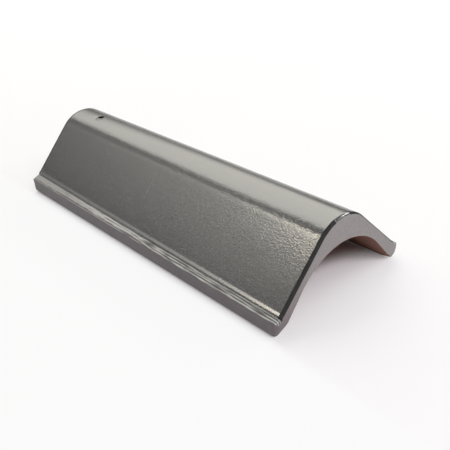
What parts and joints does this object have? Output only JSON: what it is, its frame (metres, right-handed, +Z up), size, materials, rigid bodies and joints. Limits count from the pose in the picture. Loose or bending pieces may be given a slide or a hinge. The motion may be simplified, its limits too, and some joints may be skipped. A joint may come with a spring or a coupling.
{
  "type": "clay ridge tile",
  "caption": "Glazed clay ridge tile: a long angled cap with a round crown, straight flanks, narrow lips along the feet and a nail hole in the crown.",
  "frame": {"origin": "on the floor, under the middle of the tile", "axes": "+X along the ridge, away from the end with the nail hole, +Y across the tile, +Z up through the ridge"},
  "size_m": [0.42, 0.172, 0.084],
  "materials": {
    "glazed_clay": "satin graphite glaze over fired clay"
  },
  "bodies": {
    "root": {"ridge_tile": "glazed_clay"}
  },
  "joints": []
}
